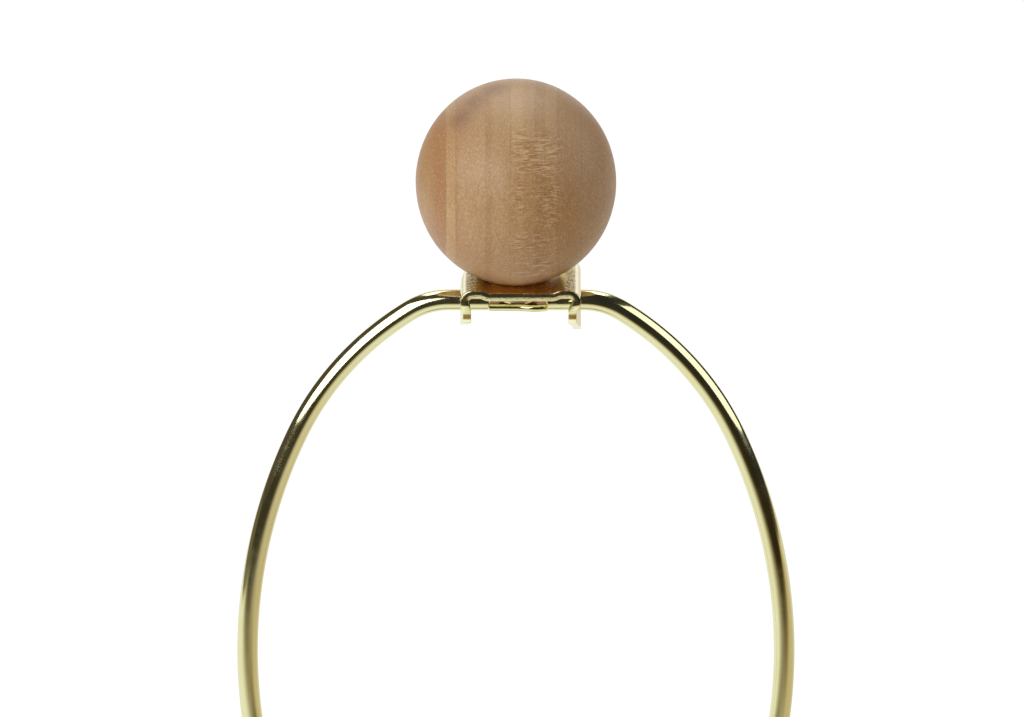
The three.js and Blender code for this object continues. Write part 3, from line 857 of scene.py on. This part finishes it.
def make_insert(material):
    low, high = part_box("finial_insert")
    bottom, top = low[2], high[2]
    outer = (high[0] - low[0]) / 2
    rows = threaded(bottom + 0.35 * MM, top - 0.35 * MM, INSERT_ROOT, INSERT_CREST)[::-1]
    for radius, height in ((3.55 * MM, bottom + 0.02 * MM), (3.62 * MM, bottom),
                           (outer - 0.15 * MM, bottom), (outer, bottom + 0.15 * MM),
                           (outer, top - 0.2 * MM), (outer - 0.2 * MM, top), (3.6 * MM, top)):
        rows.append(ring(radius, height))
    bm = loft(rows, closed_ends=False)
    bm.verts.ensure_lookup_table()
    first = bm.verts[:THREAD_SEGMENTS]
    last = bm.verts[-THREAD_SEGMENTS:]
    for j in range(THREAD_SEGMENTS):
        following = (j + 1) % THREAD_SEGMENTS
        bm.faces.new((last[j], last[following], first[following], first[j]))
    finish_piece("threaded_insert", bm, material, "thread_rise", "finial_insert")


# ---- bracket ----

SHEET = 1.6 * MM
CUT_ROUNDING = 0.12 * MM
BRACKET_DEPTH = 20 * MM
RECESS_TOP = 4.45 * MM
RECESS_DROP = 0.5 * MM
RECESS_HALF_WIDTH = 6.3 * MM
RECESS_SLOPE = 1.2 * MM
RECESS_ROUNDING = 1.0 * MM
BEND_RADIUS = 2.4 * MM
EAR_CORNER_DROP = 1.7 * MM
EAR_DROPS = {-1: 4.4 * MM, 1: 5.2 * MM}
EAR_TIP_HALF_WIDTH = 2.0 * MM
EAR_CURLS = {-1: 0.50 * MM, 1: 0.85 * MM}
EAR_LEANS = ((-2.0 * MM, 1.8 * MM, 13), (-0.2 * MM, 1.1 * MM, 5), (0.9 * MM, 0.8 * MM, 22))
ROD_HOLE_RADIUS = 2.3 * MM
STUD_HOLE_RADIUS = 3.3 * MM
LEFT_PINCH = 0.9 * MM    # how far in the back of the left bend was knocked
CUT_CROWN = 22           # degrees the cut edge turns to each side of its middle
CUT_TILT = 5             # degrees the plate's cut edge leans to face down


def cut_edge(thickness, rounding, crown, tilt):
    """Points of a crowned cut edge from the outer side to the inner, as (outward, through the sheet)."""
    flat = thickness / 2 - rounding
    steps = 8
    points = []
    reach = 0.0
    before = None
    for k in range(steps + 1):
        t = 1 - 2 * k / steps
        angle = math.radians(crown * t - tilt)
        if before is not None:
            reach += math.tan((angle + before) / 2) * 2 * flat / steps
        points.append((reach, flat * t))
        before = angle
    furthest = max(out for out, _ in points)
    points = [(out - furthest, through) for out, through in points]
    (outer_out, outer_through), (inner_out, inner_through) = points[0], points[-1]
    turns = [math.pi / 2 * k / 3 for k in range(4)]
    corner = [(outer_out - rounding * (1 - math.sin(turn)), outer_through + rounding * math.cos(turn))
              for turn in turns[:-1]]
    other = [(inner_out - rounding * (1 - math.cos(turn)), inner_through - rounding * math.sin(turn))
             for turn in turns[1:]]
    return corner + points + other


def strip_loop(centre, outward, width, edge, shift=None):
    """One closed loop round a strip: its two broad sides, and the same cut edge on both ends."""
    half = width / 2
    outer, inner = edge[0], edge[-1]
    count = 24
    steps = [2 * k / count - 1 for k in range(1, count)]
    points = [((half + outer[0]) * step, outer[1]) for step in steps]
    points += [(half + out, through) for out, through in edge]
    points += [(-(half + inner[0]) * step, inner[1]) for step in steps]
    points += [(-half - out, through) for out, through in reversed(edge)]
    across = Vector((0, 1, 0))
    return [centre + across * a + outward * (b + (shift(a) if shift else 0)) for a, b in points]


def path_of(corners, radii, spacing):
    """A polyline in X and Z with arcs at its inner corners, as (point, normal) every so often."""
    points = [Vector(corners[0])]
    for before, corner, after, radius in zip(corners, corners[1:], corners[2:], radii):
        here = Vector(corner)
        back = (Vector(before) - here).normalized()
        on = (Vector(after) - here).normalized()
        half = back.angle(on) / 2
        reach = radius / math.tan(half)
        centre = here + (back + on).normalized() * radius / math.sin(half)
        turn = math.pi - 2 * half
        steps = max(3, round(turn / math.radians(7)))
        a, b = here + back * reach - centre, here + on * reach - centre
        for j in range(steps + 1):
            t = j / steps
            arc = a * math.sin((1 - t) * turn) + b * math.sin(t * turn)
            points.append(centre + arc / math.sin(turn))
    points.append(Vector(corners[-1]))
    dense = [points[0]]
    for a, b in zip(points, points[1:]):
        pieces = max(1, math.ceil((b - a).length / spacing))
        for j in range(1, pieces + 1):
            dense.append(a.lerp(b, j / pieces))
    out = []
    for k, point in enumerate(dense):
        ahead = dense[min(k + 1, len(dense) - 1)] - dense[max(k - 1, 0)]
        ahead.normalize()
        out.append((Vector((point.x, 0, point.y)), Vector((-ahead.y, 0, ahead.x))))
    return out


def ear_half_width(drop, side):
    """Half the depth of the bracket at a drop below the rod's axis; its ears lean in, then taper."""
    corner = BRACKET_DEPTH / 2
    for start, length, degrees in EAR_LEANS:
        corner -= math.tan(math.radians(degrees)) * min(max(drop - start, 0), length)
    if drop <= EAR_CORNER_DROP:
        return corner
    along = (drop - EAR_CORNER_DROP) / (EAR_DROPS[side] - EAR_CORNER_DROP)
    return corner + (EAR_TIP_HALF_WIDTH - corner) * along


def drill(bm, radius, depth, place=(0, 0, 0), sideways=False, segments=64):
    """Cut a round hole upright, or along X."""
    tool = bmesh.new()
    turn = Matrix.Rotation(math.pi / 2, 4, "Y") if sideways else Matrix.Identity(4)
    bmesh.ops.create_cone(tool, cap_ends=True, segments=segments, radius1=radius, radius2=radius, depth=depth,
                          matrix=Matrix.Translation(place) @ turn)
    return cut(bm, tool)


def make_bracket(material):
    low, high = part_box("top_bracket")
    centre = BRACKET_X
    half = (high[0] - low[0]) / 2
    mid = SHEET / 2
    upper = AXIS_Z + RECESS_TOP + RECESS_DROP - mid
    recess = AXIS_Z + RECESS_TOP - mid
    outer = half - mid
    corners = [(-outer, AXIS_Z - EAR_DROPS[-1]), (-outer, upper), (-RECESS_HALF_WIDTH - RECESS_SLOPE, upper),
               (-RECESS_HALF_WIDTH, recess), (RECESS_HALF_WIDTH, recess),
               (RECESS_HALF_WIDTH + RECESS_SLOPE, upper), (outer, upper), (outer, AXIS_Z - EAR_DROPS[1])]
    corners = [(x + centre, z) for x, z in corners]
    bend = BEND_RADIUS - mid
    loops = []
    for point, normal in path_of(corners, [bend, *[RECESS_ROUNDING] * 4, bend], 0.18 * MM):
        side = 1 if point.x > centre else -1
        curl = EAR_CURLS[side] * smooth((upper - bend - point.z) / (2.0 * MM))
        facing = abs(normal.z)

        def curled(across, curl=curl):
            return -curl * smooth((abs(across) - 4.0 * MM) / (4.5 * MM))

        edge = cut_edge(SHEET, CUT_ROUNDING, CUT_CROWN * (0.45 + 0.55 * facing), CUT_TILT * facing)
        width = 2 * ear_half_width(AXIS_Z - point.z, side)
        loops.append(strip_loop(point, normal, width, edge, curled))
    bm = loft(loops)
    for vert in bm.verts:
        left = smooth((centre - half + BEND_RADIUS - vert.co.x) / (1.5 * MM))
        vert.co.x += LEFT_PINCH * left * smooth((vert.co.y - 1 * MM) / (11 * MM))
    bm = drill(bm, ROD_HOLE_RADIUS, 30 * MM, (centre, 0, AXIS_Z), sideways=True)
    bm = drill(bm, STUD_HOLE_RADIUS, 4 * MM, (0, 0, AXIS_Z + 4 * MM))
    bm = bevel(bm, CUT_ROUNDING, 2, 55)
    finish_piece("stamped_bracket", bm, material, "bracket", "top_bracket")


# ---- ferrules and saddle ----

FERRULE_BORE = 3.85 * MM
FERRULE_NECK = 2.2 * MM
FERRULE_NECK_BORE = 2.3 * MM
SADDLE_SHEET = 1.2 * MM
SADDLE_BEND = 3.4 * MM
ARM_SHOULDER_WIDTH = 10 * MM
SLOT_WIDTH = 2.4 * MM
TROUGH_RADIUS = 2.3 * MM
PIPE_HOLE_RADIUS = 5.2 * MM


def make_ferrule(node, material):
    """A bell-shaped sleeve: a wide bore below, a stepped shoulder, and a neck close round the rod."""
    low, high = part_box(node)
    radius = (high[0] - low[0]) / 2
    length = high[2] - low[2]
    neck = length - FERRULE_NECK
    corners = [(FERRULE_BORE, 2 * MM), (FERRULE_BORE, 0), (radius - 0.1 * MM, 0), (radius, 0.5 * MM),
               (radius - 0.18 * MM, 1.1 * MM), (radius - 0.18 * MM, neck - 2.2 * MM),
               (radius - 0.6 * MM, neck - 0.5 * MM), (3.4 * MM, neck), (3.25 * MM, length),
               (FERRULE_NECK_BORE, length), (FERRULE_NECK_BORE, neck - 1.0 * MM),
               (FERRULE_BORE, neck - 2.2 * MM), (FERRULE_BORE, 2 * MM)]
    profile = rounded_profile(corners, 0.45 * MM, 6)[:-1]
    sleeve = turned(profile, 96, (middle_x(node), 0, low[2]))
    finish_piece(node + "_sleeve", sleeve, material, node, node)


def make_saddle(material):
    low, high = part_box("saddle")
    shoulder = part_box("ferrule_left")[0][2] - 0.3 * MM
    mid = SADDLE_SHEET / 2
    outer = LEG_X - TROUGH_RADIUS - mid
    bend = SADDLE_BEND - mid
    full = high[1] - low[1]
    edge = cut_edge(SADDLE_SHEET, 0.15 * MM, 15, 0)
    corners = [(-outer, shoulder), (-outer, mid), (outer, mid), (outer, shoulder)]
    loops = []
    for point, normal in path_of(corners, [bend, bend], 0.5 * MM):
        rise = smooth((point.z - SADDLE_BEND) / (shoulder - SADDLE_BEND - 1.5 * MM))
        loops.append(strip_loop(point, -normal, full + (ARM_SHOULDER_WIDTH - full) * rise, edge))
    bm = loft(loops)
    for side in (-1, 1):
        bm = cut(bm, prongs(side, shoulder - 2.5 * MM, high[2]), "UNION")
    slot_bottom = LEG_BOTTOM - 0.3 * MM
    slot_size = (8 * MM, SLOT_WIDTH, 30 * MM, 1)
    for side in (-1, 1):
        slot = bmesh.new()
        bmesh.ops.create_cube(slot, size=1)
        middle = (side * (LEG_X - 2 * MM), 0, slot_bottom + slot_size[2] / 2)
        slot.transform(Matrix.Translation(middle) @ Matrix.Diagonal(slot_size))
        bm = cut(bm, slot)
    bm = drill(bm, PIPE_HOLE_RADIUS, 8 * MM, segments=96)
    bm = bevel(bm, CUT_ROUNDING, 2, 55)
    finish_piece("stamped_saddle", bm, material, "saddle", "saddle")


def prongs(side, bottom, top):
    """The inner half of a sleeve round the leg, which the slot later splits in two."""
    inner, outer = TROUGH_RADIUS, TROUGH_RADIUS + SADDLE_SHEET
    reach = math.acos(0.5 * MM / outer)
    loop = []
    steps = 20
    for radius, sign in ((outer, 1), (inner, -1)):
        for k in range(steps + 1):
            angle = sign * reach * (2 * k / steps - 1)
            loop.append(Vector((side * (LEG_X - radius * math.cos(angle)), radius * math.sin(angle), 0)))
    return loft([[point + Vector((0, 0, height)) for point in loop] for height in (bottom, top)])


# ---- making ----

add_camera()
add_studio()

stamped = Brass("stamped_brass", BRASS_PALE, SHEET_DEEP, 0.13, grain=2.0).finish()
drawn = Brass("drawn_brass", BRASS_PALE, SHEET_DEEP, 0.10).finish()
machined = Brass("turned_brass", TURNED_PALE, TURNED_DEEP, 0.18).finish()

make_bow(wire_material())
make_ball(wood_material())
make_stud(machined)
make_insert(machined)
make_bracket(bracket_material())
for name in ("ferrule_left", "ferrule_right"):
    make_ferrule(name, drawn)
make_saddle(stamped)
